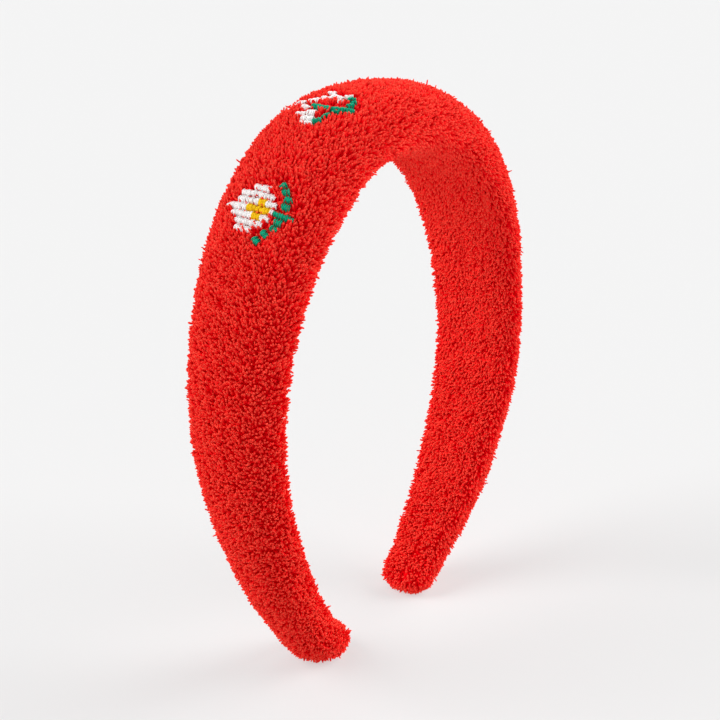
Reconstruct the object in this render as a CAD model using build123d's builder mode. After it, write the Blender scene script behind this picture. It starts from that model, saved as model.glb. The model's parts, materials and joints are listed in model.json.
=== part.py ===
from build123d import *
from math import copysign, cos, pi, radians, sin
import os

# A rigid padded hair band: a springy core hoop between two self-adhesive foam strips, in one sleeve of looped
# terry cloth that is closed by a seam down the middle of the head side, with two embroidered daisies outside.
# +Z is up, X runs from side to side through the two legs, and -Y is the front edge. The origin is on the
# surface that the band stands on, midway between its two tips.

# Driving dimensions, in millimetres and degrees

# the hoop's middle line: half an ellipse over the crown, and a longer ellipse down each leg
HALF_SPAN = 65.0
CROWN_RISE = 76.0
LEG_DROP = 88.5
SWEEP = 156.0  # from the crown to the middle of each rounded tip
LEG_TUCK = 3.3  # how far each leg is drawn in, halfway between the widest level and the tip
WIDEST_HEIGHT = 90.0  # the level where the two ellipses meet, above the standing surface

# the padded section, which is widest and thickest at the crown
CROWN_WIDTH = 39.0
TIP_WIDTH = 19.6
WIDTH_POWER = 2.2
CROWN_THICKNESS = 22.0
LEG_THICKNESS = 15.0
THINS_FROM = 0.22  # shares of the sweep between which the padding thins out
THINS_TO = 0.51
HEAD_SHARE = 0.345  # share of the thickness on the head side of the middle line
FULLNESS = 0.585  # how square the rounded section is: 0.55 is an ellipse, 1 is a box

# the layers, from the head outwards
TERRY = 3.2
HEAD_FOAM = 2.0
CORE = 1.8
CORE_WIDTH_SHARE = 0.7  # of the space inside the sleeve
FIT_GAP = 0.1
LAYER_GAP = 0.06  # between the flat faces of the core and its two foams

# the closing seam and the stitches at the tips
SEAM_GAP = 1.0
SEAM_CHAIN_WIDTH = 0.8
SEAM_CHAIN_HEIGHT = 0.6
SEAM_DEPTH = 1.2  # from the head side face of the terry to the middle of the chain of stitches
TIP_STITCH_RADIUS = 0.3
TIP_STITCH_LENGTH = 4.5
TIP_STITCH_LIFT = 0.1
TIP_STITCH_ANGLES = (146.0, 149.0, 152.0, 155.0)

# the embroidery
THREAD_RECESS = 0.5  # below the tops of the terry loops
THREAD_HEIGHT = 0.9
BACKING = 0.3
BACKING_RADIUS = 12.0
REACH = 25.0  # outwards from the middle line, past the thread
ROW = 2.03  # height of one row of satin stitch
DAISY_TILT = -3.0  # degrees that the rows turn away from the tip as they run to the front
# each daisy's angle round the hoop, and its distance from the hoop's middle plane
SIDE_DAISY = (-46.7, -1.0)
TOP_DAISY = (-19.1, -1.0)
# the side daisy's rows: the row's number, counted towards the crown, and its start and end, towards the front
SIDE_PETALS = (
    (3, -3.3, 2.0),
    (2, -6.9, 4.4),
    (1, -6.9, 5.6),
    (0, -10.9, 5.4),
    (-1, -7.7, 5.2),
    (-2, -5.3, 3.9),
    (-3, -4.3, 1.5),
)
SIDE_CENTRE = ((1, 0.3, 2.5), (0, -2.9, 4.5), (-1, -0.1, 2.4))
SIDE_STEM = ((0, 5.4, 10.6),)
# each block of stitches outside the rows: its middle towards the front and towards the crown, its length, its
# height and its turn in degrees
SIDE_LEAVES = (
    (4.6, 8.1, 2.0, 1.9, 50),
    (6.0, 6.6, 2.0, 2.0, 30),
    (7.5, 4.9, 1.9, 2.0, 10),
    (7.7, 2.7, 2.1, 2.1, 0),
    (7.5, -1.9, 1.9, 1.9, 0),
    (7.2, -3.9, 2.0, 2.0, -10),
    (5.4, -6.0, 2.1, 2.0, -30),
    (3.7, -8.3, 2.0, 2.1, -30),
)
TOP_PETALS = (
    (-10.6, -0.2, 2.5, 1.6, 54),
    (-8.6, 1.8, 4.2, 2.1, -16),
    (-4.6, 2.5, 3.4, 2.4, 10),
    (-1.5, 4.3, 3.6, 2.2, -5),
    (0.8, 6.0, 4.3, 2.3, -6),
    (-2.8, 8.2, 2.7, 1.7, 8),
    (3.2, 7.9, 2.2, 1.3, 52),
    (3.3, 4.1, 1.5, 1.4, 45),
    (-4.3, -1.5, 4.2, 1.6, -25),
    (-0.3, -4.1, 2.5, 2.9, 13),
    (-3.1, -5.1, 3.2, 2.0, 4),
    (0.3, -6.8, 3.7, 2.5, 3),
    (1.2, -8.7, 3.5, 1.6, 13),
)
TOP_STEM = (
    (-0.9, -0.7, 3.4, 2.0, -2),
    (2.2, -0.6, 3.5, 1.9, 5),
    (5.2, 0.4, 3.6, 1.9, 33),
    (7.6, 1.8, 2.6, 1.9, 26),
    (8.2, 0.6, 1.2, 1.2, 0),
)
TOP_LEAVES = (
    (6.5, 3.9, 1.9, 1.8, 75),
    (6.2, 5.7, 1.6, 1.2, 66),
    (4.7, 7.1, 2.0, 1.8, 40),
    (5.5, -1.3, 1.9, 1.2, 43),
    (4.3, -3.8, 2.4, 1.7, 66),
    (3.3, -6.7, 2.4, 2.1, 46),
)

# the angles of the sections that a solid is lofted through, and the step that measures a direction
STATIONS = [SWEEP * i / 8 for i in range(-8, 9)]
SEAM_STATIONS = [SWEEP * i / 30 for i in range(-30, 31)]
TANGENT_STEP = 0.01

os.makedirs("parts", exist_ok=True)


def hoop_point(angle):
    """A point of the middle line: 0 degrees is the crown and SWEEP is the middle of the right tip."""
    turn = radians(abs(angle))
    below = max(abs(angle) - 90, 0) / (SWEEP - 90)
    rise = CROWN_RISE if abs(angle) <= 90 else LEG_DROP
    out = HALF_SPAN * sin(turn) - LEG_TUCK * sin(pi * below) ** 2
    return Vector(copysign(out, angle), 0, WIDEST_HEIGHT + rise * cos(turn))


def section_plane(angle):
    """Square to the middle line. Its x is along +Y, across the band, and its y points away from the head."""
    along = hoop_point(angle + TANGENT_STEP) - hoop_point(angle - TANGENT_STEP)
    return Plane(origin=hoop_point(angle), x_dir=(0, 1, 0), z_dir=along)


def outward_plane(angle, across):
    """Faces away from the head. Its x runs to the front edge, tilted, and its y along the band to the crown."""
    section = section_plane(angle)
    origin = section.from_local_coords((across, 0, 0))
    return Plane(origin=origin, x_dir=(0, -1, 0), z_dir=section.y_dir).rotated((0, 0, DAISY_TILT))


def section_size(angle, inset):
    """Half width, height away from the head and depth towards it, at a depth of inset below the surface."""
    share = abs(angle) / SWEEP
    width = CROWN_WIDTH + (TIP_WIDTH - CROWN_WIDTH) * share**WIDTH_POWER
    thin = min(max((share - THINS_FROM) / (THINS_TO - THINS_FROM), 0), 1)
    thickness = CROWN_THICKNESS + (LEG_THICKNESS - CROWN_THICKNESS) * thin**2 * (3 - 2 * thin)
    height = thickness * (1 - HEAD_SHARE)
    depth = thickness * HEAD_SHARE
    return width / 2 - inset, height - inset, depth - inset


def padded_section(angle, inset, half):
    """The rounded outline of the whole band, or of its right half, as a face."""
    side, height, depth = section_size(angle, inset)
    with BuildSketch(section_plane(angle)) as section:
        with BuildLine():
            Bezier((side, 0), (side, FULLNESS * height), (FULLNESS * side, height), (0, height))
            if half:
                Line((0, height), (0, -depth))
            else:
                Bezier((0, height), (-FULLNESS * side, height), (-side, FULLNESS * height), (-side, 0))
                Bezier((-side, 0), (-side, -FULLNESS * depth), (-FULLNESS * side, -depth), (0, -depth))
            Bezier((0, -depth), (FULLNESS * side, -depth), (side, -FULLNESS * depth), (side, 0))
        make_face()
    return section.sketch


def strip_section(angle, side, low, high, half):
    """A flat strip's outline, or its right half. low and high are levels away from the head."""
    with BuildSketch(section_plane(angle)) as section:
        with Locations((0, (low + high) / 2)):
            if half:
                Rectangle(side, high - low, align=(Align.MIN, Align.CENTER))
            else:
                Rectangle(2 * side, high - low)
    return section.sketch


def round_the_hoop(section):
    """A solid from tip to tip. Each tip is rounded by turning half of the last section about its middle."""
    with BuildPart() as hoop:
        loft([section(angle, False) for angle in STATIONS])
        for angle, turn in ((-SWEEP, 180), (SWEEP, -180)):
            end = section_plane(angle)
            revolve(section(angle, True), axis=Axis(end.origin, end.y_dir), revolution_arc=turn)
    return hoop.part


def padded_solid(inset):
    """Everything deeper than inset below the band's surface."""
    return round_the_hoop(lambda angle, half: padded_section(angle, inset, half))


def core_side(angle):
    """Half the core's width."""
    return CORE_WIDTH_SHARE * section_size(angle, TERRY)[0]


def level(angle, above):
    """A level measured outwards from the inside of the terry on the head side."""
    return above - section_size(angle, TERRY)[2]


def strip_solid(low, high, clearance=0.0):
    """A strip of the core's width between two levels, widened by a clearance."""
    return round_the_hoop(
        lambda angle, half: strip_section(
            angle, core_side(angle) + clearance, level(angle, low), level(angle, high), half
        )
    )


# Levels of the stack inside the sleeve, outwards from the inside of the terry on the head side

core_level = FIT_GAP + HEAD_FOAM
crown_foam_level = core_level + CORE

outside = padded_solid(0)
sleeve_space = padded_solid(TERRY)
padding_space = padded_solid(TERRY + FIT_GAP)


# Core: one springy moulded hoop, wide at the crown and narrow at its rounded tips

with BuildPart() as core_band:
    add(strip_solid(core_level + LAYER_GAP, crown_foam_level - LAYER_GAP))

core_band.part.label = "core_band"
export_step(core_band.part, "parts/core_band.step")


# Head foam: the thin strip between the core and the terry on the head side

with BuildPart() as head_foam:
    add(strip_solid(-TERRY, core_level))
    add(padding_space, mode=Mode.INTERSECT)

head_foam.part.label = "head_foam"
export_step(head_foam.part, "parts/head_foam.step")


# Embroidery backings: one round patch under each daisy, between the terry and the foam


def backing_patch(angle, across):
    """A patch of stabiliser that follows the inside of the terry."""
    with BuildPart() as patch:
        with BuildSketch(outward_plane(angle, across)):
            Circle(BACKING_RADIUS)
        extrude(amount=REACH)
        add(padding_space, mode=Mode.INTERSECT)
        add(backing_underside, mode=Mode.SUBTRACT)
    return patch.part


backing_underside = padded_solid(TERRY + FIT_GAP + BACKING)
backings = {"side_daisy_backing": backing_patch(*SIDE_DAISY), "top_daisy_backing": backing_patch(*TOP_DAISY)}

for name, backing in backings.items():
    backing.label = name
    export_step(backing, f"parts/{name}.step")


# Crown foam: the thick crowned pad, with a channel for the core and head foam, and a recess for each backing

stack_channel = strip_solid(-2 * TERRY, crown_foam_level, FIT_GAP)

with BuildPart() as crown_foam:
    add(padding_space)
    add(stack_channel, mode=Mode.SUBTRACT)
    for backing in backings.values():
        add(backing, mode=Mode.SUBTRACT)

crown_foam.part.label = "crown_foam"
export_step(crown_foam.part, "parts/crown_foam.step")


# Embroidery: petals, centre, stem and leaf garland of each daisy, sunk between the loops of the terry

thread_top = padded_solid(THREAD_RECESS)
thread_bottom = padded_solid(THREAD_RECESS + THREAD_HEIGHT)


def recess_over(sketch):
    """The space above the back of the thread, under a flat outline facing away from the head."""
    with BuildPart() as recess:
        extrude(sketch, amount=REACH)
        add(thread_bottom, mode=Mode.SUBTRACT)
    return recess.part


def thread_in(recess):
    """Stitched thread that fills a recess up to the thread's height."""
    with BuildPart() as thread:
        add(recess)
        add(thread_top, mode=Mode.INTERSECT)
    return thread.part


def cut_back(sketch, in_front):
    """An outline without the places where other thread lies in front of it."""
    for other in in_front:
        sketch -= other
    return sketch


def rows_sketch(place, rows):
    """Rows of satin stitch, each from one distance towards the front to another."""
    with BuildSketch(outward_plane(*place)) as sketch:
        for row, start, end in rows:
            with Locations(((start + end) / 2, row * ROW)):
                Rectangle(end - start, ROW)
    return sketch.sketch


def blocks_sketch(place, blocks):
    """Blocks of satin stitch, each with its own place, size and turn."""
    with BuildSketch(outward_plane(*place)) as sketch:
        for x, y, length, height, turn in blocks:
            with Locations((x, y)):
                Rectangle(length, height, rotation=turn)
    return sketch.sketch


side_stem = rows_sketch(SIDE_DAISY, SIDE_STEM)
side_centre = rows_sketch(SIDE_DAISY, SIDE_CENTRE)
side_leaves = cut_back(blocks_sketch(SIDE_DAISY, SIDE_LEAVES), [side_stem])
side_petals = cut_back(rows_sketch(SIDE_DAISY, SIDE_PETALS), [side_stem, side_leaves, side_centre])
top_stem = blocks_sketch(TOP_DAISY, TOP_STEM)
top_leaves = cut_back(blocks_sketch(TOP_DAISY, TOP_LEAVES), [top_stem])
top_petals = cut_back(blocks_sketch(TOP_DAISY, TOP_PETALS), [top_stem, top_leaves])

recesses = {
    "side_daisy_stem": recess_over(side_stem),
    "side_daisy_centre": recess_over(side_centre),
    "side_daisy_leaves": recess_over(side_leaves),
    "side_daisy_petals": recess_over(side_petals),
    "top_daisy_stem": recess_over(top_stem),
    "top_daisy_leaves": recess_over(top_leaves),
    "top_daisy_petals": recess_over(top_petals),
}

for name, recess in recesses.items():
    thread = thread_in(recess)
    thread.label = name
    export_step(thread, f"parts/{name}.step")


# Terry cover: one sleeve, slit down the middle of the head side, with a small flat foot under each tip

seam_slit = round_the_hoop(
    lambda angle, half: strip_section(
        angle, SEAM_GAP / 2, -2 * section_size(angle, 0)[2], level(angle, TERRY), half
    )
)

with BuildPart() as terry_cover:
    add(outside)
    add(sleeve_space, mode=Mode.SUBTRACT)
    add(seam_slit, mode=Mode.SUBTRACT)
    for recess in recesses.values():
        add(recess, mode=Mode.SUBTRACT)
    split(bisect_by=Plane.XY, keep=Keep.TOP)

terry_cover.part.label = "terry_cover"
export_step(terry_cover.part, "parts/terry_cover.step")


# Closing seam: the flat chain of stitches that runs down the slit from tip to tip, in short straight lengths

with BuildPart() as closing_seam:
    for angle in SEAM_STATIONS:
        with BuildSketch(section_plane(angle)):
            with Locations((0, SEAM_DEPTH - section_size(angle, 0)[2])):
                Rectangle(SEAM_CHAIN_WIDTH, SEAM_CHAIN_HEIGHT)
    loft(ruled=True)

closing_seam.part.label = "closing_seam"
export_step(closing_seam.part, "parts/closing_seam.step")


# Tip stitches: short bars of thread that close the sleeve across the end of the seam

for name, side in (("left_tip_stitches", -1), ("right_tip_stitches", 1)):
    with BuildPart() as tip_stitches:
        for angle in TIP_STITCH_ANGLES:
            section = section_plane(side * angle)
            face_level = -section_size(angle, 0)[2] - TIP_STITCH_LIFT - TIP_STITCH_RADIUS
            middle = section.from_local_coords((0, face_level, 0))
            with Locations(Plane(origin=middle, x_dir=section.y_dir, z_dir=section.x_dir)):
                Cylinder(TIP_STITCH_RADIUS, TIP_STITCH_LENGTH)
    tip_stitches.part.label = name
    export_step(tip_stitches.part, f"parts/{name}.step")
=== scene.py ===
import json
import math

import bpy
import numpy as np
from mathutils import Matrix, Vector, noise as field
from mathutils.bvhtree import BVHTree
from mathutils.kdtree import KDTree


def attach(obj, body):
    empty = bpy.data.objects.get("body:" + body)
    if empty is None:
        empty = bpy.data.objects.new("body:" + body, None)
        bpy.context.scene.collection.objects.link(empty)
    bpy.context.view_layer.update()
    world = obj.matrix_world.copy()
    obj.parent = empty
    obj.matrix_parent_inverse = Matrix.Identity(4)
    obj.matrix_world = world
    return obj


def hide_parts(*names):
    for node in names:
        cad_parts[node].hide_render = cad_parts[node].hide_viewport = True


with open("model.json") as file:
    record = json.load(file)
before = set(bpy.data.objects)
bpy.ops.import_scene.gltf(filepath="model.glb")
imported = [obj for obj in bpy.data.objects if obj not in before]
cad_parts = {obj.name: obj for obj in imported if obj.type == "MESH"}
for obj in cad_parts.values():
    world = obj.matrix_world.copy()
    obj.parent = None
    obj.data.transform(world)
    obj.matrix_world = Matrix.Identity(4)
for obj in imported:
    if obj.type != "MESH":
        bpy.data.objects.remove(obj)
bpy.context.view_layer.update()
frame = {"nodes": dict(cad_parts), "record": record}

rng = np.random.default_rng(7)
field.seed_set(7)  # without a seed, noise_vector starts from the time of day
MM = 0.001

# ---------------------------------------------------------------- the band's surface, as in the CAD model (mm)
HALF_SPAN = 65.0
CROWN_RISE = 76.0
LEG_DROP = 88.5
SWEEP = 156.0
LEG_TUCK = 3.3
WIDEST_HEIGHT = 90.0
CROWN_WIDTH = 39.0
TIP_WIDTH = 19.6
WIDTH_POWER = 2.2
CROWN_THICKNESS = 22.0
LEG_THICKNESS = 15.0
THINS_FROM = 0.22
THINS_TO = 0.51
HEAD_SHARE = 0.345
FULLNESS = 0.585
ROW = 2.03
DAISY_TILT = -3.0
SIDE_DAISY = (-46.7, -1.0)
TOP_DAISY = (-20.1, -1.0)
SIDE_PETALS = (
    (3, -3.3, 2.0),
    (2, -6.9, 4.4),
    (1, -6.9, 5.6),
    (0, -10.9, 5.4),
    (-1, -7.7, 5.2),
    (-2, -5.3, 3.9),
    (-3, -4.3, 1.5),
)
SIDE_CENTRE = ((1, 0.3, 2.5), (0, -2.9, 4.5), (-1, -0.1, 2.4))
SIDE_STEM = ((0, 5.4, 10.6),)
# each block of stitches outside the rows: its middle towards the front and towards the crown, its length, its
# height and its turn in degrees
SIDE_LEAVES = (
    (4.6, 8.1, 2.0, 1.9, 50),
    (6.0, 6.6, 2.0, 2.0, 30),
    (7.5, 4.9, 1.9, 2.0, 10),
    (7.7, 2.7, 2.1, 2.1, 0),
    (7.5, -1.9, 1.9, 1.9, 0),
    (7.2, -3.9, 2.0, 2.0, -10),
    (5.4, -6.0, 2.1, 2.0, -30),
    (3.7, -8.3, 2.0, 2.1, -30),
)
TOP_PETALS = (
    (-10.6, -0.2, 2.5, 1.6, 54),
    (-8.6, 1.8, 4.2, 2.1, -16),
    (-4.6, 2.5, 3.4, 2.4, 10),
    (-1.5, 4.3, 3.6, 2.2, -5),
    (0.8, 6.0, 4.3, 2.3, -6),
    (-2.8, 8.2, 2.7, 1.7, 8),
    (3.2, 7.9, 2.2, 1.3, 52),
    (3.3, 4.1, 1.5, 1.4, 45),
    (-4.3, -1.5, 4.2, 1.6, -25),
    (-0.3, -4.1, 2.5, 2.9, 13),
    (-3.1, -5.1, 3.2, 2.0, 4),
    (0.3, -6.8, 3.7, 2.5, 3),
    (1.2, -8.7, 3.5, 1.6, 13),
)
TOP_STEM = (
    (-0.9, -0.7, 3.4, 2.0, -2),
    (2.2, -0.6, 3.5, 1.9, 5),
    (5.2, 0.4, 3.6, 1.9, 33),
    (7.6, 1.8, 2.6, 1.9, 26),
    (8.2, 0.6, 1.2, 1.2, 0),
)
TOP_LEAVES = (
    (6.5, 3.9, 1.9, 1.8, 75),
    (6.2, 5.7, 1.6, 1.2, 66),
    (4.7, 7.1, 2.0, 1.8, 40),
    (5.5, -1.3, 1.9, 1.2, 43),
    (4.3, -3.8, 2.4, 1.7, 66),
    (3.3, -6.7, 2.4, 2.1, 46),
)
DAISIES = {"side_daisy": SIDE_DAISY, "top_daisy": TOP_DAISY}
# how far outside a block the pile begins to be pressed down, and where it is all pressed down: between rows of
# stitches the loops stay up, and a block alone presses down what is round it
ROW_PRESS = (0.30, -0.35)
BLOCK_PRESS = (0.75, 0.05)

# ---------------------------------------------------------------- how the terry is made (mm)
PILE = 1.95  # from the ground cloth to the CAD surface, which the tips of the loops reach
YARN = 2.8  # length of a loop, which leans
SWELL_ROOM = 0.5  # the ground cloth starts this much smaller, and swells in the simulation
SWELL_CAP = 1.1  # no point of the cloth moves further than this
SWELL_FRAMES = 12
FACET_HEIGHT = 0.55  # the ground cloth stays this share of the pile above the floor
LOOPS = 0.67  # spacing of the loops
# how uneven the spacing is, as shares of it: each row's start, each loop along its row, along the rows by the
# seam, and each loop any way over the cloth
ROW_START = 0.6
ALONG_ROW = 0.16
ALONG_SEAM = 0.3
ANY_WAY = 0.13
# a real band isn't quite regular: soft bends, each an angle, its reach, how far it moves in X, Y and Z, and how
# much fuller the pad is there
BENDS = (
    (-2, 20, 0.0, 0.0, -1.1, 0.0),
    (-22, 14, 0.0, 0.0, 1.3, 0.0),
    (-90, 18, 0.6, 0.0, 0.0, -0.4),
    (-122, 24, 0.5, 0.0, 0.0, -0.3),
    (-142, 10, 0.9, 0.0, 0.0, -0.4),
    (-156, 9, -1.0, 0.0, 0.0, 0.5),
    (78, 18, -1.1, 0.0, 0.0, 0.0),
    (104, 15, 1.2, 0.0, 0.0, 0.4),
    (122, 12, 0.4, 0.0, 0.0, 0.5),
    (147, 13, 0.0, 1.7, 0.0, 0.0),
    (156, 12, 0.2, 0.4, 0.0, 0.0),
)
TIP_SQUARE = 0.8  # below 1, the tips are fuller than half rounds
SEAM_SINK = 0.25  # how far the seam pulls the cloth in
SEAM_PRESS = 0.15  # how much it shortens the loops beside it
SEAM_REACH = 3.0  # how far from the seam both fade out
SEAM_CLEAR = 0.5  # half the width left to the rows beside the seam
SEAM_ROW = 0.28  # from the seam to the loops beside it
SEAM_WANDER = 0.18  # how far those stray across the band
SEAM_STITCH = 2.2  # from stitch to stitch
TIP_STITCHES = (146, 149, 152, 155)  # degrees along the middle line


def hoop(angle):
    """Middle line at angles in degrees: position and outward direction in the XZ plane, and the tangent."""

    def at(a):
        turn = np.radians(np.abs(a))
        below = np.clip((np.abs(a) - 90) / (SWEEP - 90), 0, None)
        rise = np.where(np.abs(a) <= 90, CROWN_RISE, LEG_DROP)
        out = HALF_SPAN * np.sin(turn) - LEG_TUCK * np.sin(np.pi * below) ** 2
        return np.stack([np.sign(a) * out, np.zeros_like(out), WIDEST_HEIGHT + rise * np.cos(turn)], -1)

    angle = np.asarray(angle, float)
    centre = at(angle)
    along = at(angle + 0.01) - at(angle - 0.01)
    along /= np.linalg.norm(along, axis=-1, keepdims=True)
    outward = np.stack([-along[..., 2], np.zeros_like(angle), along[..., 0]], -1)
    return centre, outward, along


def bent(points, angles):
    """Points after the soft bends, from the sections that they belong to."""
    centre = hoop(angles)[0]
    away = points - centre
    away /= np.maximum(np.linalg.norm(away, axis=1, keepdims=True), 1.0)
    moved = points.copy()
    for bend, reach, move_x, move_y, move_z, fuller in BENDS:
        share = np.exp(-(((angles - bend) / reach) ** 2))[:, None]
        moved += share * (np.array([move_x, move_y, move_z]) + fuller * away)
    return moved


def section_size(angle, inset):
    share = np.abs(angle) / SWEEP
    width = CROWN_WIDTH + (TIP_WIDTH - CROWN_WIDTH) * share**WIDTH_POWER
    thin = np.clip((share - THINS_FROM) / (THINS_TO - THINS_FROM), 0, 1)
    thickness = CROWN_THICKNESS + (LEG_THICKNESS - CROWN_THICKNESS) * thin**2 * (3 - 2 * thin)
    return width / 2 - inset, thickness * (1 - HEAD_SHARE) - inset, thickness * HEAD_SHARE - inset


def half_outline(n):
    """n points down one side of the unit section, from the outside over the edge to the head side."""
    k = FULLNESS
    t = np.linspace(0, 1, (n + 1) // 2)[:, None]

    def curve(a, b, c, d):
        a, b, c, d = (np.array(p, float) for p in (a, b, c, d))
        return (1 - t) ** 3 * a + 3 * (1 - t) ** 2 * t * b + 3 * (1 - t) * t**2 * c + t**3 * d

    upper = curve((0, 1), (k, 1), (1, k), (1, 0))
    lower = curve((1, 0), (1, -k), (k, -1), (0, -1))
    return np.concatenate([upper, lower[1:]])


NV = 27  # points down each side of a section
NA = 181  # sections from tip to tip
NT = 15  # steps round each tip
FINEST = 3001  # sections for measuring the middle line


def skin_grids(inset, sink):
    """The two sides of the band and its two tips as grids of points: [section or step][point down the side]."""
    outline = half_outline(NV)
    # even spacing along the middle line
    fine = np.linspace(-SWEEP, SWEEP, FINEST)
    centre = hoop(fine)[0]
    length = np.concatenate([[0], np.cumsum(np.linalg.norm(np.diff(centre, axis=0), axis=1))])
    angles = np.interp(np.linspace(0, length[-1], NA), length, fine)
    centre, outward, along = hoop(angles)
    side, height, depth = section_size(angles, inset)
    across = side[:, None] * outline[:, 0]
    level = np.where(outline[:, 1] > 0, height[:, None] * outline[:, 1], depth[:, None] * outline[:, 1])
    # the seam pulls the head side in
    dip = sink * np.exp(-((across / SEAM_REACH) ** 2)) * (outline[:, 1] < 0)
    level = level + dip
    grids = {}
    for name, sign in (("back", 1), ("front", -1)):
        grids[name] = (
            centre[:, None] + level[..., None] * outward[:, None] + sign * across[..., None] * np.array([0, 1.0, 0])
        )
    steps = np.linspace(0, np.pi, NT)
    sideways = np.sign(np.cos(steps)) * np.abs(np.cos(steps)) ** TIP_SQUARE
    endways = np.clip(np.sin(steps), 0, 1) ** TIP_SQUARE
    for name, i, sign in (("left", 0, -1), ("right", -1, 1)):
        grids[name] = (
            centre[i]
            + level[i][None, :, None] * outward[i]
            + (sideways[:, None] * across[i])[..., None] * np.array([0, 1.0, 0])
            + sign * (endways[:, None] * across[i])[..., None] * along[i]
        )
    return grids, angles


def skin_indices():
    """Vertex numbers of one closed mesh for the four grids, which share their borders."""
    back = np.arange(NA * NV).reshape(NA, NV)
    count = NA * NV
    front = back.copy()
    inner = np.arange(count, count + NA * (NV - 2)).reshape(NA, NV - 2)
    front[:, 1:-1] = inner
    count += inner.size
    index = {"back": back, "front": front}
    for name, i in (("left", 0), ("right", -1)):
        tip = np.empty((NT, NV), int)
        tip[:, 0] = back[i, 0]
        tip[:, -1] = back[i, -1]
        tip[0] = back[i]
        tip[-1] = front[i]
        rest = np.arange(count, count + (NT - 2) * (NV - 2)).reshape(NT - 2, NV - 2)
        tip[1:-1, 1:-1] = rest
        count += rest.size
        index[name] = tip
    return index, count


def grid_faces(index):
    faces = []
    for name, turn in (("back", 1), ("front", -1), ("left", -1), ("right", 1)):
        grid = index[name]
        a, b, c, d = grid[:-1, :-1], grid[1:, :-1], grid[1:, 1:], grid[:-1, 1:]
        quads = np.stack([a, b, c, d], -1).reshape(-1, 4)
        if turn < 0:
            quads = quads[:, ::-1]
        faces.append(quads)
    return np.concatenate(faces)


def new_object(name, data):
    obj = bpy.data.objects.new(name, data)
    bpy.context.scene.collection.objects.link(obj)
    return obj


def mesh_from(name, points, faces):
    """An object from points in mm and faces of three or four corners; repeated corners are dropped."""
    clean = [[v for i, v in enumerate(face) if v != face[i - 1]] for face in faces.tolist()]
    mesh = bpy.data.meshes.new(name)
    mesh.from_pydata((points * MM).tolist(), [], clean)
    mesh.update()
    return new_object(name, mesh)


def points_of(obj):
    co = np.empty(len(obj.data.vertices) * 3, np.float32)
    obj.data.vertices.foreach_get("co", co)
    return co.reshape(-1, 3).astype(float) / MM


def smooth_shade(mesh):
    mesh.polygons.foreach_set("use_smooth", np.ones(len(mesh.polygons), bool))


# ---------------------------------------------------------------- the ground cloth, swollen by a cloth simulation
index, count = skin_indices()
start_grids, section_angles = skin_grids(PILE + SWELL_ROOM, SEAM_SINK)
start = np.empty((count, 3))
for key, grid in start_grids.items():
    start[index[key]] = grid
faces = grid_faces(index)
cover = mesh_from("terry_cover_cloth", start, faces)


def swell(obj):
    """Pressure fills the sleeve. The seam and the tips' ends are held, and no point moves further than the cap."""
    group = obj.vertex_groups.new(name="held")
    seam = np.unique(np.concatenate([index["back"][:, -1], index["left"][:, -1], index["right"][:, -1]]))
    group.add([int(i) for i in seam], 1.0, "REPLACE")
    near = np.unique(np.concatenate([index[k][:, -2].ravel() for k in index]))
    group.add([int(i) for i in near], 0.5, "REPLACE")
    cloth = obj.modifiers.new("swell", "CLOTH")
    cloth.settings.quality = 6
    cloth.settings.use_pressure = True
    cloth.settings.uniform_pressure_force = 4.0
    cloth.settings.effector_weights.gravity = 0.0
    cloth.settings.vertex_group_mass = "held"
    cloth.settings.tension_stiffness = 20
    cloth.settings.compression_stiffness = 20
    cloth.settings.bending_stiffness = 1.0
    cloth.collision_settings.use_collision = False
    scene = bpy.context.scene
    for frame_number in range(1, SWELL_FRAMES + 1):
        scene.frame_set(frame_number)
    evaluated = obj.evaluated_get(bpy.context.evaluated_depsgraph_get())
    co = np.empty(count * 3, np.float32)
    evaluated.data.vertices.foreach_get("co", co)
    moved = co.reshape(-1, 3).astype(float) / MM - start
    obj.modifiers.remove(cloth)
    obj.vertex_groups.clear()
    scene.frame_set(1)
    far = np.linalg.norm(moved, axis=1, keepdims=True)
    # the sleeve fills until its cloth has moved out by the room that was left for it, on average
    far = far * SWELL_ROOM / far.mean()
    return moved / np.linalg.norm(moved + 1e-12, axis=1, keepdims=True) * SWELL_CAP * np.tanh(far / SWELL_CAP)


point_angles = np.empty(count)
for key in ("back", "front"):
    point_angles[index[key]] = section_angles[:, None]
point_angles[index["left"][1:-1]] = -SWEEP
point_angles[index["right"][1:-1]] = SWEEP

moved = swell(cover)
swollen = bent(start + moved, point_angles)
# the tips stand on the floor: no point of the cloth goes below the tips' facets
swollen[:, 2] = np.maximum(swollen[:, 2], PILE * FACET_HEIGHT)
cover.data.vertices.foreach_set("co", (swollen * MM).ravel())
cover.data.update()
smooth_shade(cover.data)
grids = {key: swollen[index[key]] for key in index}
normals_all = np.array([v.normal for v in cover.data.vertices])
normal_grids = {key: normals_all[index[key]] for key in index}

# ---------------------------------------------------------------- where the loops stand
ROW_ENDS = 0.25  # a row stops where less cloth than this is left beside it, as a share of the spacing
SHORTEST_ROW = 3  # sections


def lengths_along(points, axis):
    step = np.linalg.norm(np.diff(points, axis=axis), axis=-1)
    zero = np.zeros_like(np.take(step, [0], axis=axis))
    return np.concatenate([zero, np.cumsum(step, axis=axis)], axis=axis)


def sampled(at, run, values):
    """The values at one length or several along their run."""
    return np.stack([np.interp(at, run, values[:, c]) for c in range(3)], -1)


def crossing_line(at, down, points, normals):
    """The line, with its normals, that crosses each section at its length down the side."""
    line = np.stack([sampled(at[i], down[i], points[i]) for i in range(len(points))])
    line_normals = np.stack([sampled(at[i], down[i], normals[i]) for i in range(len(points))])
    return line, line_normals


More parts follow.
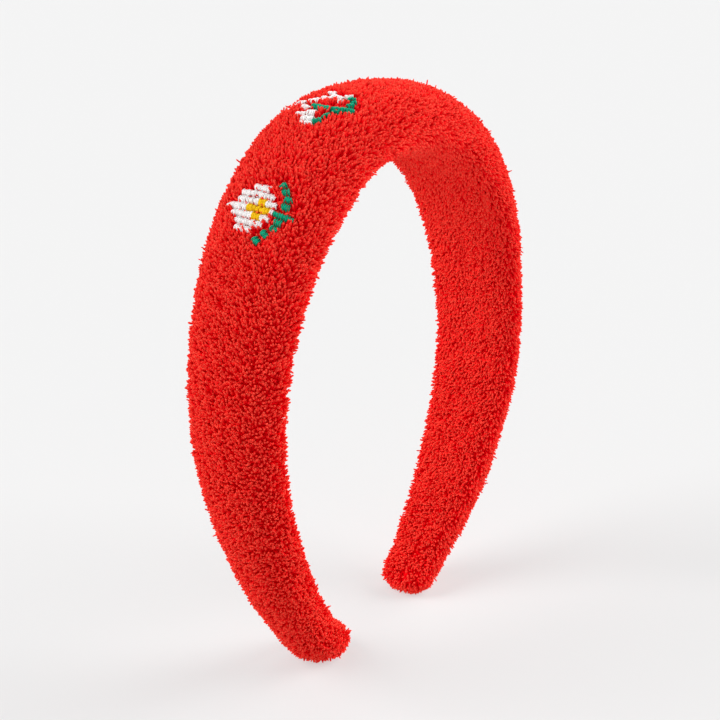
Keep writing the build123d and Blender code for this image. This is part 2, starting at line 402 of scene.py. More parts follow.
def rows_on(key, offset):
    """Loops in rows: each row keeps its distance from the middle of the outside, as a row of the weave does."""
    points, normals = grids[key], normal_grids[key]
    down = lengths_along(points, 1)
    found = []
    row = offset
    while row < down[:, -1].max():
        inside = down[:, -1] > row + ROW_ENDS * LOOPS
        line, line_normals = crossing_line([row] * len(points), down, points, normals)
        edges = np.flatnonzero(np.diff(np.concatenate([[0], inside.astype(int), [0]])))
        for a, b in zip(edges[::2], edges[1::2]):
            if b - a < SHORTEST_ROW:
                continue
            run = lengths_along(line[a:b], 0)
            n = int(run[-1] / LOOPS)
            if n < 1:
                continue
            at = (np.arange(n) + 0.5) * run[-1] / n
            at = at + rng.uniform(-0.5, 0.5) * LOOPS * ROW_START
            at = np.clip(at + rng.normal(0, ALONG_ROW, n) * LOOPS, 0, run[-1])
            found.append(np.concatenate([sampled(at, run, line[a:b]), sampled(at, run, line_normals[a:b])], 1))
        row += LOOPS
    return np.concatenate(found)


FINE = 600  # sections for finding the nearest one
fine_angles = np.linspace(-SWEEP, SWEEP, FINE)
fine_centre, fine_outward, fine_along = hoop(fine_angles)
sections_near = KDTree(len(fine_centre))
for i, p in enumerate(fine_centre):
    sections_near.insert(Vector((p[0], 0, p[2])), i)
sections_near.balance()


def nearest_section(points):
    """The number of the nearest of the fine sections to each point."""
    return np.array([sections_near.find(Vector((p[0], 0, p[2])))[1] for p in points])


def on_head_side(rows):
    near = nearest_section(rows[:, :3])
    return ((rows[:, :3] - fine_centre[near]) * fine_outward[near]).sum(1) < 0


loops = [rows_on("back", 0.0), rows_on("front", LOOPS)]
for key in ("left", "right"):
    points, normals = grids[key], normal_grids[key]
    down = lengths_along(points[NT // 2][None], 1)[0]
    row = LOOPS * 0.5
    tips = []
    while row < down[-1]:
        line, line_normals = crossing_line([row] * NT, [down] * NT, points, normals)
        run = lengths_along(line, 0)
        n = int(round(run[-1] / LOOPS))
        if n > 0:
            at = (np.arange(n) + 0.5) * run[-1] / n
            at = np.clip(at + rng.normal(0, ALONG_ROW, n) * LOOPS, 0, run[-1])
            tips.append(np.concatenate([sampled(at, run, line), sampled(at, run, line_normals)], 1))
        row += LOOPS
    loops.append(np.concatenate(tips))

# a row along each side of the seam, where the rows of the weave run out; round the ends of the tips, where the
# cloth faces along Y, the rows of the weave stay
FACES_Y = 0.3  # the square of the normal's Y
loops = [
    rows[(np.abs(rows[:, 1]) > SEAM_CLEAR) | (rows[:, 4] ** 2 > FACES_Y) | ~on_head_side(rows)] for rows in loops
]
for key in ("back", "front"):
    points, normals = grids[key], normal_grids[key]
    down = lengths_along(points, 1)
    line, line_normals = crossing_line(down[:, -1] - SEAM_ROW, down, points, normals)
    run = lengths_along(line, 0)
    n = int(run[-1] / LOOPS)
    at = np.clip((np.arange(n) + 0.5) * run[-1] / n + rng.normal(0, ALONG_SEAM, n) * LOOPS, 0, run[-1])
    feet = sampled(at, run, line)
    feet[:, 1] += rng.normal(0, SEAM_WANDER, n)
    loops.append(np.concatenate([feet, sampled(at, run, line_normals)], 1))
loops = np.concatenate(loops)
base = loops[:, :3]
normal = loops[:, 3:] / np.linalg.norm(loops[:, 3:], axis=1, keepdims=True)
base = base + np.cross(normal, rng.normal(0, 1, base.shape)) * ANY_WAY * LOOPS
print("loops", len(base))

# the direction along the band at each loop comes from the nearest section
nearest = nearest_section(base)
along_band = fine_along[nearest]
outward_band = fine_outward[nearest]
angle_band = fine_angles[nearest]

# ---------------------------------------------------------------- the embroidery's places
SHORTEST_BLOCK = 0.4


def outward_frame(angle, across):
    """Origin, direction to the front edge, direction along the band to the crown, and outward."""
    centre, outward, along = (v[0] for v in hoop(np.array([angle])))
    front = np.array([0, -1.0, 0])
    up = np.cross(outward, front)
    t = math.radians(DAISY_TILT)
    front, up = front * math.cos(t) + up * math.sin(t), up * math.cos(t) - front * math.sin(t)
    return centre + np.array([0, across, 0]), front, up, outward


def row_blocks(kind, rows, in_front=()):
    """Rows as blocks, without the stretches where other rows lie in front of them."""
    found = []
    for row, low, high in rows:
        pieces = [(low, high)]
        for _, left, right in (block for block in in_front if block[0] == row):
            pieces = [piece for a, b in pieces for piece in ((a, min(b, left)), (max(a, right), b))]
        for a, b in pieces:
            if b - a > SHORTEST_BLOCK:
                found.append((kind, ((a + b) / 2, row * ROW), (1, 0), (0, 1), b - a, ROW))
    return found


def turned_blocks(kind, blocks):
    found = []
    for x, y, length, thread_length, turn in blocks:
        t = math.radians(turn)
        along, across = (math.cos(t), math.sin(t)), (-math.sin(t), math.cos(t))
        found.append((kind, (x, y), along, across, length, thread_length))
    return found


# each stitched block as (kind, middle, long direction, thread direction, length, thread length) in the plane
BLOCKS = {
    "side_daisy": row_blocks("petals", SIDE_PETALS, SIDE_CENTRE + SIDE_STEM)
    + row_blocks("centre", SIDE_CENTRE)
    + row_blocks("stem", SIDE_STEM)
    + turned_blocks("leaves", SIDE_LEAVES),
    "top_daisy": turned_blocks("petals", TOP_PETALS)
    + turned_blocks("stem", TOP_STEM)
    + turned_blocks("leaves", TOP_LEAVES),
}


def pressed_by(points, daisy):
    """How far the stitches press down the loops at the points, from 0 to 1."""
    origin, front, up, outward = outward_frame(*DAISIES[daisy])
    rel = points - origin
    flat = np.stack([rel @ front, rel @ up], -1)
    pressed = np.zeros(len(points))
    for _, middle, u, v, lu, lv in BLOCKS[daisy]:
        outer, inner_edge = ROW_PRESS if lv == ROW else BLOCK_PRESS
        d = flat - middle
        far = np.maximum(np.abs(d @ np.array(u)) - lu / 2, np.abs(d @ np.array(v)) - lv / 2)
        pressed = np.maximum(pressed, np.clip((outer - far) / (outer - inner_edge), 0, 1))
    pressed[(rel @ outward) < 0] = 0
    return pressed


under = np.maximum(*[pressed_by(base, daisy) for daisy in DAISIES])

# ---------------------------------------------------------------- the loops of the pile
MAP_EDGE = 0.06  # the margin round each tube's map, as a share of its cell
RINGS = np.array([0.0, 0.40, 0.76, 0.95])  # the rings of points of a loop, along its length
RING_SIZES = np.array([0.80, 0.98, 0.96, 0.70])
SIDES = 5
LEAN = 0.50  # how far the loops lean along the band
LOOSE = 0.32  # how far each leans its own way
FLOW = 0.6  # how far neighbours lean the same way, and per mm how fast that changes
FLOW_SCALE = 0.28
CURL = 0.30  # how far each bends its own way, and along the band
CURL_ALONG = 0.15
FAT = 0.345  # half the thickness of a loop
HEIGHT_SPREAD = 0.06
FAT_SPREAD = 0.1
STRAYS = 0.012  # the share of loops that are pulled out longer and thinner
STRAY_HEIGHT = (1.15, 1.45)
STRAY_FAT = 0.75
STRAY_LOOSE = 1.5
POKING = 0.05  # the share of loops under the stitches that poke up between them
POKING_PRESS = 0.4
PRESSED_HEIGHT = 0.72  # how much shorter a loop is under the stitches, and how much less it leans
PRESSED_LEAN = 0.6
# how a loop's lean and curl grow along it, each as a power and a factor, and how much shorter leaning makes it
LEAN_GROWTH = (1.5, 0.9)
CURL_GROWTH = (2, 0.7)
LEAN_COST = 0.25
TIP_STEP = 0.36  # from the last ring to the point of the tip, as a share of the last stretch
TIP_PLACE = 1.05
PLY = 0.16  # how deep the two plies of the yarn show
YARN_TWIST = 1.8  # radians along a loop
PLY_TWIST = 2.2

n = len(base)
height = YARN * rng.normal(1.0, HEIGHT_SPREAD, n)
# the seam holds the loops beside it down
head_side = ((base - fine_centre[nearest]) * outward_band).sum(1) < 0
by_seam = np.exp(-((base[:, 1] / SEAM_REACH) ** 2)) * head_side
height *= 1 - SEAM_PRESS * by_seam
stray = rng.random(n) < STRAYS
height[stray] *= rng.uniform(*STRAY_HEIGHT, stray.sum())
fat = FAT * rng.normal(1.0, FAT_SPREAD, n)
fat[stray] *= STRAY_FAT
loose = rng.normal(0, 1, (n, 3))
flow = np.array([field.noise_vector(Vector(p * FLOW_SCALE)) for p in base])
lean = along_band * LEAN + flow * FLOW + loose * LOOSE * np.where(stray, STRAY_LOOSE, 1.0)[:, None]
lean -= normal * (lean * normal).sum(1, keepdims=True)
# a few loops poke up between the threads
under[rng.random(n) < POKING] *= POKING_PRESS
height = height * (1 - PRESSED_HEIGHT * under)
lean *= (1 - PRESSED_LEAN * under)[:, None]
curl = np.cross(normal, rng.normal(0, 1, (n, 3))) * CURL + along_band * CURL_ALONG


def yarn_points(base, normal, lean, curl, height, fat, twist):
    """Short bent loops with rounded tips. Returns the points and each point's place along its yarn."""
    n = len(base)
    t = RINGS[None, :, None]
    (lean_power, lean_share), (curl_power, curl_share) = LEAN_GROWTH, CURL_GROWTH
    axis = normal[:, None] * t + lean[:, None] * t**lean_power * lean_share + curl[:, None] * t**curl_power * curl_share
    # every loop keeps its length, whichever way it bends
    scale = height / np.maximum(np.linalg.norm(axis[:, -1], axis=1), 1e-6) * np.sqrt(
        1.0 / (1 + LEAN_COST * (lean**2).sum(1))
    )
    axis = axis * scale[:, None, None]
    tip_axis = axis[:, -1] + (axis[:, -1] - axis[:, -2]) * TIP_STEP
    centre = base[:, None] + axis
    direction = np.gradient(axis, axis=1)
    direction /= np.linalg.norm(direction, axis=-1, keepdims=True)
    # a direction that the loop doesn't take, to turn its rings from
    helper = np.where(np.abs(normal[:, 1:2]) > 0.8, np.array([[1.0, 0, 0]]), np.array([[0, 1.0, 0]]))
    u = np.cross(direction, helper[:, None])
    u /= np.linalg.norm(u, axis=-1, keepdims=True)
    v = np.cross(direction, u)
    phase = np.linspace(0, 2 * np.pi, SIDES, endpoint=False)
    turn = phase[None, None, :] + twist[:, None, None] + YARN_TWIST * RINGS[None, :, None]
    ply = 1 + PLY * np.cos(2 * (phase[None, None, :] - PLY_TWIST * RINGS[None, :, None]))
    r = fat[:, None, None] * RING_SIZES[None, :, None] * ply
    ring = (
        centre[:, :, None]
        + (r * np.cos(turn))[..., None] * u[:, :, None]
        + (r * np.sin(turn))[..., None] * v[:, :, None]
    )
    points = np.concatenate([ring.reshape(n, -1, 3), (base + tip_axis)[:, None]], 1)
    return points, np.concatenate([np.repeat(RINGS, SIDES), [TIP_PLACE]])


def tube_faces(rings, sides, ends):
    """Faces of a tube of rings, closed by a point at its end, or at both, and each corner's place on its map."""
    quads, quad_maps, tris, tri_maps = [], [], [], []
    last = rings * sides
    for i in range(rings - 1):
        for j in range(sides):
            k = (j + 1) % sides
            quads.append((i * sides + j, i * sides + k, (i + 1) * sides + k, (i + 1) * sides + j))
            low, high = (i + 1) / (rings + 1), (i + 2) / (rings + 1)
            quad_maps.append(((j / sides, low), ((j + 1) / sides, low), ((j + 1) / sides, high), (j / sides, high)))
    for j in range(sides):
        k = (j + 1) % sides
        left, middle, right = j / sides, (j + 0.5) / sides, (j + 1) / sides
        high = rings / (rings + 1)
        if ends == 2:
            low = 1 / (rings + 1)
            tris.append((k, j, last))
            tri_maps.append(((right, low), (left, low), (middle, 0)))
        tris.append((last - sides + j, last - sides + k, last + ends - 1))
        tri_maps.append(((left, high), (right, high), (middle, 1)))
    return np.array(quads), np.array(tris), np.array(quad_maps), np.array(tri_maps)


def fast_mesh(name, points, faces, shade, material):
    """One object from many copies of a tube: points [copy][point], and the faces and their maps in a copy."""
    quads, tris, quad_maps, tri_maps = faces
    n, m = points.shape[:2]
    offset = (np.arange(n) * m)[:, None, None]
    q = (quads[None] + offset).reshape(-1, 4)
    t = (tris[None] + offset).reshape(-1, 3)
    mesh = bpy.data.meshes.new(name)
    mesh.vertices.add(n * m)
    mesh.vertices.foreach_set("co", (points.reshape(-1, 3) * MM).astype(np.float32).ravel())
    mesh.loops.add(q.size + t.size)
    mesh.loops.foreach_set("vertex_index", np.concatenate([q.ravel(), t.ravel()]).astype(np.int32))
    mesh.polygons.add(len(q) + len(t))
    starts = np.concatenate([np.arange(len(q)) * 4, q.size + np.arange(len(t)) * 3])
    mesh.polygons.foreach_set("loop_start", starts.astype(np.int32))
    mesh.update(calc_edges=True)
    mesh.validate()
    smooth_shade(mesh)
    attribute = mesh.attributes.new("yarn", "FLOAT_COLOR", "POINT")
    attribute.data.foreach_set("color", shade.astype(np.float32).ravel())
    # each copy has its own cell of the map
    cells = math.ceil(math.sqrt(n))
    corner = np.stack([np.arange(n) % cells, np.arange(n) // cells], -1)[:, None, None, :]
    maps = [(corner + MAP_EDGE + (1 - 2 * MAP_EDGE) * one[None]).reshape(-1, 2) for one in (quad_maps, tri_maps)]
    layer = mesh.uv_layers.new(name="OFBake")
    layer.data.foreach_set("uv", (np.concatenate(maps) / cells).astype(np.float32).ravel())
    mesh.materials.append(material)
    obj = new_object(name, mesh)
    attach(obj, "root")
    return obj


# ---------------------------------------------------------------- materials


def shader_of(material):
    return next(x for x in material.node_tree.nodes if x.type == "BSDF_PRINCIPLED")


def new_material(name):
    material = bpy.data.materials.new(name)
    material.use_nodes = True
    return material, material.node_tree, shader_of(material)


def node(tree, kind, **values):
    made = tree.nodes.new(kind)
    for key, value in values.items():
        if key in made.inputs:
            made.inputs[key].default_value = value
        else:
            setattr(made, key, value)
    return made


def ramp(tree, factor, stops):
    made = tree.nodes.new("ShaderNodeValToRGB")
    elements = made.color_ramp.elements
    while len(elements) < len(stops):
        elements.new(0.5)
    for element, (place, colour) in zip(elements, stops):
        element.position = place
        element.color = (*colour, 1)
    tree.links.new(factor, made.inputs["Fac"])
    return made.outputs["Color"]


def noise(tree, scale, detail=3.0, rough=0.6):
    place = tree.nodes.new("ShaderNodeTexCoord")
    made = node(tree, "ShaderNodeTexNoise", Scale=scale, Detail=detail, Roughness=rough)
    tree.links.new(place.outputs["Object"], made.inputs["Vector"])
    return made.outputs["Fac"]


def mix(tree, a, b, factor, how="MIX"):
    made = tree.nodes.new("ShaderNodeMix")
    made.data_type = "RGBA"
    made.blend_type = how
    for socket, value in ((made.inputs[6], a), (made.inputs[7], b), (made.inputs[0], factor)):
        if isinstance(value, (int, float)):
            socket.default_value = value
        elif isinstance(value, tuple):
            socket.default_value = (*value, 1)
        else:
            tree.links.new(value, socket)
    return made.outputs[2]


def bump(tree, shader, height_socket, strength, distance):
    made = node(tree, "ShaderNodeBump", Strength=strength, Distance=distance)
    tree.links.new(height_socket, made.inputs["Height"])
    tree.links.new(made.outputs["Normal"], shader.inputs["Normal"])


# the paler tips are a painted highlight
TIP_HIGHLIGHT_FROM = 0.62  # the paler tips begin at this share of the length


def yarn_material(name, deep, body, tip, sheen, tint, roughness, spread):
    """Spun yarn: a darker colour at the root as painted shade, a paler one on the tips as a painted highlight, a change
    from strand to strand, and fine fibres in the bump.
    """
    material, tree, shader = new_material(name)
    attribute = node(tree, "ShaderNodeAttribute", attribute_name="yarn")
    split = tree.nodes.new("ShaderNodeSeparateColor")
    tree.links.new(attribute.outputs["Color"], split.inputs["Color"])
    # painted shade at the roots, down between the loops, and a painted highlight on the tips
    colour = ramp(tree, split.outputs["Red"], [(0.0, deep), (TIP_HIGHLIGHT_FROM, body), (1.0, tip)])
    darker = tuple(c * (1 - spread) for c in body)
    varied = mix(tree, colour, darker, split.outputs["Green"])
    fibres = noise(tree, 2600.0, 2.0, 0.6)
    speckle = ramp(tree, fibres, [(0.3, (0.86, 0.86, 0.86)), (0.7, (1.08, 1.08, 1.08))])
    final = mix(tree, varied, speckle, 1.0, "MULTIPLY")
    tree.links.new(final, shader.inputs["Base Color"])
    shader.inputs["Roughness"].default_value = roughness
    shader.inputs["Specular IOR Level"].default_value = 0.03
    shader.inputs["Sheen Weight"].default_value = sheen
    shader.inputs["Sheen Roughness"].default_value = 0.45
    shader.inputs["Sheen Tint"].default_value = (*tint, 1)
    bump(tree, shader, fibres, 0.35, 0.0002)
    return material


def painted_glow(material, strength):
    """A painted glow: an emission that stands in for light soaking through the pile keeps the gaps between the loops
    red.
    """
    shader = shader_of(material)
    shader.inputs["Emission Color"].default_value = (1.0, 0.0, 0.008, 1)
    shader.inputs["Emission Strength"].default_value = strength


# the deep root is painted shade, and the tip's paler orange is a painted highlight
terry = yarn_material(
    "red_terry_loops", (0.95, 0.0, 0.004), (0.985, 0.0, 0.009), (1.0, 0.10, 0.06),
    sheen=0.11, tint=(1.0, 0.12, 0.08), roughness=0.85, spread=0.1,
)
# painted glow on the loops of the pile
painted_glow(terry, 0.035)
# the pink at the root of the white is painted shade, tinted by painted red light from the pile
white_yarn = yarn_material(
    "white_embroidery_thread", (0.93, 0.80, 0.79), (0.98, 0.94, 0.93), (1.0, 0.985, 0.98),
    sheen=0.25, tint=(1, 1, 1), roughness=0.55, spread=0.12,
)
# for the yellow, green and sewing threads too, the deeper root is painted shade and the paler tip is a painted
# highlight
yellow_yarn = yarn_material(
    "yellow_embroidery_thread", (0.85, 0.42, 0.0), (0.98, 0.58, 0.006), (1.0, 0.66, 0.012),
    sheen=0.15, tint=(1, 0.9, 0.5), roughness=0.5, spread=0.15,
)
green_yarn = yarn_material(
    "green_embroidery_thread", (0.0, 0.22, 0.11), (0.0, 0.36, 0.19), (0.005, 0.46, 0.26),
    sheen=0.2, tint=(0.6, 1, 0.8), roughness=0.5, spread=0.25,
)
sewing_yarn = yarn_material(
    "red_sewing_thread", (0.80, 0.0, 0.004), (0.92, 0.002, 0.010), (0.96, 0.02, 0.02),
    sheen=0.1, tint=(1, 0.2, 0.1), roughness=0.6, spread=0.15,
)


def cloth_material():
    """The ground cloth that the loops stand in: a fine plain weave in deep red."""
    material, tree, shader = new_material("red_ground_cloth")
    place = tree.nodes.new("ShaderNodeTexCoord")
    waves = []
    for direction in ("X", "Z"):
        wave = node(tree, "ShaderNodeTexWave", Scale=420.0, Distortion=1.2)
        wave.bands_direction = direction
        tree.links.new(place.outputs["Object"], wave.inputs["Vector"])
        waves.append(wave.outputs["Fac"])
    weave = mix(tree, waves[0], waves[1], 0.5)
    colour = ramp(tree, weave, [(0.25, (0.85, 0.0, 0.004)), (0.75, (0.97, 0.002, 0.008))])
    tree.links.new(colour, shader.inputs["Base Color"])
    shader.inputs["Roughness"].default_value = 0.9
    shader.inputs["Specular IOR Level"].default_value = 0.08
    bump(tree, shader, weave, 0.5, 0.0003)
    return material


cover.data.materials.append(cloth_material())
# a stronger painted glow on the ground cloth, which lifts the shade deep between the loops
painted_glow(cover.data.materials[0], 0.15)
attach(cover, "root")
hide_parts("terry_cover")

# ---------------------------------------------------------------- build the pile, in stretches along the band
PARTS = 18
TONES = (1.2, 3.0)  # the beta distribution of how much darker each yarn or thread is
yarn_faces = tube_faces(len(RINGS), SIDES, 1)
order = np.argsort(angle_band, kind="stable")
twist = rng.uniform(0, 2 * np.pi, n)
tone = rng.beta(*TONES, n)
points, place_on_yarn = yarn_points(base, normal, lean, curl, height, fat, twist)
points[..., 2] = np.maximum(points[..., 2], 0.0)  # no loop goes into the floor
for part in range(PARTS):
    chosen = order[part * n // PARTS : (part + 1) * n // PARTS]
    shade = np.zeros((len(chosen), points.shape[1], 4))
    # the place along the loop, which sets its painted root shade and painted tip highlight
    shade[..., 0] = place_on_yarn
    shade[..., 1] = tone[chosen][:, None]
    shade[..., 3] = 1
    fast_mesh(f"terry_pile_{part + 1}", points[chosen], yarn_faces, shade, terry)

# ---------------------------------------------------------------- the embroidery, stitch by stitch
surface = BVHTree.FromObject(cover, bpy.context.evaluated_depsgraph_get())
STITCH_PITCH = 0.38
STITCH_RADIUS = 0.215
# how unevenly the stitches lie: their places, ends, slants and heights
STITCH_SHIFT = 0.03
STITCH_REACH = (-0.34, 0.22)
STITCH_SKEW = 0.11
STITCH_LIFT = 0.07
# how high a thread stands over the ground cloth at its ends and at its middle, and how square its arch is
THREAD_LOW = 0.55
THREAD_TOP = {"side_daisy": 1.75, "top_daisy": 2.1}
THREAD_ARCH = 0.55
STITCH_RINGS = np.linspace(0, 1, 9)
THREAD_SIDES = 8
THREAD_ENDS = 0.55  # how thin a thread is at its ends
THREAD_PLY = 0.10
THREAD_TWIST = 5.0
THREAD_SPREAD = 0.06
SEAM_RADIUS = 0.2
TIP_RADIUS = 0.28
RAY_FROM = 25.0  # above the middle line, so outside the band


def on_cloth(origin, front, up, outward, a, b):
    """The point of the ground cloth under a point of the daisy's plane, and the cloth's normal."""
    high = origin + front * a + up * b + outward * RAY_FROM
    hit, hit_normal, _, _ = surface.ray_cast(Vector(high * MM), Vector(-outward))
    return np.array(hit) / MM, np.array(hit_normal)


def thread_mesh(name, lines, facing, radius, material):
    """Two-ply threads along lines of points [thread][point]."""
    m, rings = lines.shape[:2]
    share = np.linspace(0, 1, rings)
    direction = np.gradient(lines, axis=1)
    direction /= np.linalg.norm(direction, axis=-1, keepdims=True)
    side = np.cross(direction, np.broadcast_to(facing, direction.shape))
    side /= np.linalg.norm(side, axis=-1, keepdims=True)
    rise = np.cross(side, direction)
    phase = np.linspace(0, 2 * np.pi, THREAD_SIDES, endpoint=False)
    spin = rng.uniform(0, 2 * np.pi, m)
    ply = 1 + THREAD_PLY * np.cos(2 * (phase[None, None] - THREAD_TWIST * share[None, :, None] + spin[:, None, None]))
    taper = np.array([THREAD_ENDS] + [1.0] * (rings - 2) + [THREAD_ENDS])
    r = radius * taper[None, :, None] * ply * rng.normal(1, THREAD_SPREAD, m)[:, None, None]
    ring = (
        lines[:, :, None]
        + (r * np.cos(phase))[..., None] * side[:, :, None]
        + (r * np.sin(phase))[..., None] * rise[:, :, None]
    )
    points = np.concatenate([ring.reshape(m, -1, 3), lines[:, [0, -1]]], 1)
    shade = np.zeros((m, points.shape[1], 4))
    # the painted highlight of the yarn's tips on the top of the arch, and the painted shade of its root at both ends
    shade[..., 0] = np.concatenate([np.repeat(np.sin(np.pi * share) ** 0.6, THREAD_SIDES), [0, 0]])
    shade[..., 1] = rng.beta(*TONES, m)[:, None]
    shade[..., 3] = 1
    return fast_mesh(name, points, tube_faces(rings, THREAD_SIDES, 2), shade, material)


def stitches(daisy, kind):
    """Every satin stitch of one kind of block: short arched threads side by side."""
    plane = outward_frame(*DAISIES[daisy])
    threads = []
    for _, middle, u, v, lu, lv in (block for block in BLOCKS[daisy] if block[0] == kind):
        threads_here = max(2, int(round(lu / STITCH_PITCH)))
        for i in range(threads_here):
            x = -lu / 2 + (i + 0.5) * lu / threads_here + rng.normal(0, STITCH_SHIFT)
            reach = lv / 2 + rng.uniform(*STITCH_REACH)
            skew = rng.normal(0, STITCH_SKEW)
            lift = rng.normal(0, STITCH_LIFT)
            line = []
            for t in STITCH_RINGS:
                y = (2 * t - 1) * reach
                along_block = x + skew * (2 * t - 1)
                a = middle[0] + u[0] * along_block + v[0] * y
                b = middle[1] + u[1] * along_block + v[1] * y
                foot, cloth_normal = on_cloth(*plane, a, b)
                rise = (THREAD_TOP[daisy] - THREAD_LOW + lift) * math.sin(math.pi * t) ** THREAD_ARCH
                line.append(foot + cloth_normal * (THREAD_LOW + rise))
            threads.append(line)
    material, slot_name = {
        "petals": (white_yarn, "white_thread"),
        "centre": (yellow_yarn, "yellow_thread"),
        "stem": (green_yarn, "green_thread"),
        "leaves": (green_yarn, "green_thread"),
    }[kind]
    obj = thread_mesh(
        f"{daisy}_{kind}_stitches", np.array(threads), plane[3], STITCH_RADIUS, material
    )
    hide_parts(f"{daisy}_{kind}")


for daisy in DAISIES:
    for kind in ("petals", "centre", "stem", "leaves"):
        if any(block[0] == kind for block in BLOCKS[daisy]):
            stitches(daisy, kind)

# ---------------------------------------------------------------- the hand sewing, down in the pile of the head side
seam_line, seam_normals = grids["back"][:, -1], normal_grids["back"][:, -1]
seam_run = lengths_along(seam_line, 0)
STITCH_SPAN = np.linspace(-1, 1, 9)  # from one side of the seam to the other
AHEAD = 0.5  # the step that gives the seam's direction
NOT_ALONG_ANY = np.array([0.3, 0.2, 1.0])  # a direction that none of these threads takes
# half the length across the seam, the slant along it and the rise over it
WHIP_STITCH = (1.1, 0.55, 0.35)
TIP_STITCH = (2.2, 0.2, 0.45)


def sewn(name, places, half, slant, lift, radius, node_name):
    """Stitches that cross the seam at lengths along it, slanted like a whip stitch."""
    lines = []
    for length in places:
        middle, out = sampled(length, seam_run, seam_line), sampled(length, seam_run, seam_normals)
        ahead = sampled(length + AHEAD, seam_run, seam_line) - middle
        ahead /= np.linalg.norm(ahead) + 1e-9
        sideways = np.cross(out, ahead)
        lines.append(
            [middle + sideways * half * w + ahead * slant * w + out * lift * (1 - w * w) for w in STITCH_SPAN]
        )
    obj = thread_mesh(name, np.array(lines), NOT_ALONG_ANY, radius, sewing_yarn)
    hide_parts(node_name)


n = int(seam_run[-1] / SEAM_STITCH)
places = (np.arange(n) + 0.5) * seam_run[-1] / n
sewn("closing_seam_stitches", places, *WHIP_STITCH, SEAM_RADIUS, "closing_seam")
for side_name, sign in (("left", -1), ("right", 1)):
    places = [np.interp(sign * angle, section_angles, seam_run) for angle in TIP_STITCHES]
    sewn(f"{side_name}_tip_sewing", places, *TIP_STITCH, TIP_RADIUS, f"{side_name}_tip_stitches")


# ---------------------------------------------------------------- the inner pieces, as in the CAD model
def plain(name, low, high, scale, roughness, depth):
    """A material with one fine grain in its colour and its bump."""
    material, tree, shader = new_material(name)
    grain = noise(tree, scale, 6.0, 0.65)
    tree.links.new(ramp(tree, grain, [(0.3, low), (0.7, high)]), shader.inputs["Base Color"])
    shader.inputs["Roughness"].default_value = roughness
    bump(tree, shader, grain, 0.4, depth)
    return material


inner = {
    "foam": plain("cream_foam", (0.66, 0.62, 0.52), (0.86, 0.83, 0.74), 900.0, 0.95, 0.0006),
    "core": plain("black_moulded_plastic", (0.012, 0.012, 0.014), (0.03, 0.03, 0.034), 240.0, 0.42, 0.0001),
    "backing": plain("white_stabiliser", (0.74, 0.73, 0.70), (0.90, 0.89, 0.87), 1400.0, 0.95, 0.0003),
}

SQUEEZE = 0.5  # how far the cover holds the foam in, in mm
TIP_SQUEEZE = 0.75  # how much more than that it holds the foam in at the tips
TIP_FROM, TIP_TO = 135.0, 155.0  # the degrees over which that comes in


def bent_copy(node_name, material, squeeze):
    """An inner piece, bent with the cloth round it; the cover also squeezes the soft ones."""
    source = frame["nodes"][node_name]
    mesh = source.data.copy()
    obj = new_object(f"{node_name}_in_band", mesh)
    matrix = np.array(source.matrix_world)
    points = points_of(source) @ matrix[:3, :3].T + matrix[:3, 3] / MM
    angles = fine_angles[nearest_section(points)]
    out = points - hoop(angles)[0]
    out /= np.maximum(np.linalg.norm(out, axis=1, keepdims=True), 1.0)
    tip = np.clip((np.abs(angles) - TIP_FROM) / (TIP_TO - TIP_FROM), 0, 1)[:, None]
    held_in = squeeze + (TIP_SQUEEZE * tip if squeeze else 0.0)
    points = bent(points - out * held_in, angles)
    mesh.vertices.foreach_set("co", (points * MM).astype(np.float32).ravel())
    mesh.update()
    mesh.materials.clear()
    mesh.materials.append(material)
    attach(obj, "root")
    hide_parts(node_name)


for part in frame["record"]["subparts"]:
    slot_name, node_name = part["material_slot"], part["node"]
    if slot_name in inner:
        bent_copy(node_name, inner[slot_name], 0.0 if slot_name == "core" else SQUEEZE)

# ---------------------------------------------------------------- floor, light and camera
FLOOR_HALF = 8.0  # in metres
FLOOR = 0.28  # how pale the floor is, and how far it lights itself, to be as evenly pale as a studio sweep
FLOOR_GLOW = 0.53
ROOM = 0.14
BACKDROP = 0.905
WHITE = (1, 1, 1, 1)
floor_mesh = bpy.data.meshes.new("floor")
corners = [(x * FLOOR_HALF, y * FLOOR_HALF, 0) for x, y in ((-1, -1), (1, -1), (1, 1), (-1, 1))]
floor_mesh.from_pydata(corners, [], [(0, 1, 2, 3)])
floor = new_object("floor", floor_mesh)
floor_material, _, shader = new_material("pale_floor")
shader.inputs["Base Color"].default_value = (FLOOR, FLOOR, FLOOR, 1)
shader.inputs["Emission Color"].default_value = WHITE
shader.inputs["Emission Strength"].default_value = FLOOR_GLOW
shader.inputs["Roughness"].default_value = 0.8
shader.inputs["Specular IOR Level"].default_value = 0.0
floor_mesh.materials.append(floor_material)

scene = bpy.context.scene
world = bpy.data.worlds.new("soft_studio")
scene.world = world
world.use_nodes = True
# the room's own soft light, and the white backdrop behind the floor
world_nodes = world.node_tree.nodes
room = world_nodes["Background"]
room.inputs["Color"].default_value = WHITE
room.inputs["Strength"].default_value = ROOM
backdrop = world_nodes.new("ShaderNodeBackground")
backdrop.inputs["Color"].default_value = WHITE
backdrop.inputs["Strength"].default_value = BACKDROP
rays = world_nodes.new("ShaderNodeLightPath")
either = world_nodes.new("ShaderNodeMixShader")
world.node_tree.links.new(rays.outputs["Is Camera Ray"], either.inputs[0])
world.node_tree.links.new(room.outputs[0], either.inputs[1])
world.node_tree.links.new(backdrop.outputs[0], either.inputs[2])
world.node_tree.links.new(either.outputs[0], world_nodes["World Output"].inputs["Surface"])


def direction_to(azimuth, elevation):
    """The way to something at an azimuth, from -Y towards +X, and an elevation, in degrees."""
    a, e = math.radians(azimuth), math.radians(elevation)
    return Vector((math.sin(a) * math.cos(e), -math.cos(a) * math.cos(e), math.sin(e)))


SUN_WIDTH = 40.0  # degrees: each sun is as wide as a large soft box close by


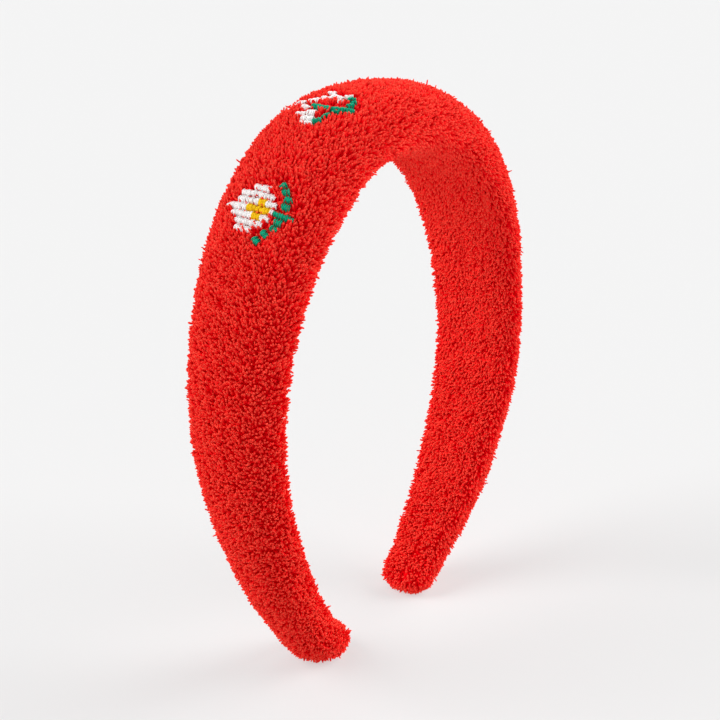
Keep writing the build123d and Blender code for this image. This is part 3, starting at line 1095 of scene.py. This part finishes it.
def sun(name, azimuth, elevation, strength):
    data = bpy.data.lights.new(name, "SUN")
    data.energy = strength
    data.angle = math.radians(SUN_WIDTH)
    lamp = new_object(name, data)
    lamp.rotation_mode = "QUATERNION"
    lamp.rotation_quaternion = direction_to(azimuth, elevation).to_track_quat("Z", "Y")


# wide soft light from all round the band, strongest from its two sides
sun("left_box", -135.0, 38.0, 2.42)
sun("right_box", 45.0, 38.0, 1.70)
sun("right_low_box", 90.0, 12.0, 2.50)
sun("camera_low_box", -45.0, 12.0, 0.55)
sun("front_low_box", 45.0, 12.0, 1.35)
sun("top_box", -180.0, 65.0, 0.34)

# the camera, from its direction, distance, aim and roll, in degrees and mm
CAMERA_AZIMUTH = -54.95
CAMERA_ELEVATION = 19.78
CAMERA_DISTANCE = 414.6
CAMERA_FOCAL = 1292.5  # in pixels of the frame
CAMERA_AIM = (-0.5474, 1.8459)  # how far it looks to the right of the target, and above it
CAMERA_ROLL = 0.5737
TARGET = Vector((0, 0, 78.0))
FRAME_PIXELS = 720
SENSOR = 36.0


def right_and_up(forward):
    right = forward.cross(Vector((0, 0, 1))).normalized()
    return right, right.cross(forward)


back = direction_to(CAMERA_AZIMUTH, CAMERA_ELEVATION)
right, up = right_and_up(-back)
aim_right, aim_up = (math.tan(math.radians(angle)) for angle in CAMERA_AIM)
forward = (-back + right * aim_right + up * aim_up).normalized()
right, up = right_and_up(forward)
roll = math.radians(CAMERA_ROLL)
right, up = right * math.cos(roll) + up * math.sin(roll), up * math.cos(roll) - right * math.sin(roll)
camera_data = bpy.data.cameras.new("camera")
camera_data.sensor_width = SENSOR
camera_data.lens = CAMERA_FOCAL * SENSOR / FRAME_PIXELS
camera_data.clip_start = 0.01
camera_data.clip_end = 50.0
camera = new_object("camera", camera_data)
rotation = Matrix((right, up, -forward)).transposed().to_4x4()
camera.matrix_world = Matrix.Translation((TARGET + back * CAMERA_DISTANCE) * MM) @ rotation
scene.camera = camera

scene.view_settings.view_transform = "Standard"
scene.view_settings.look = "None"
scene.view_settings.exposure = 0.0
scene.view_settings.gamma = 1.0

bpy.context.view_layer.update()
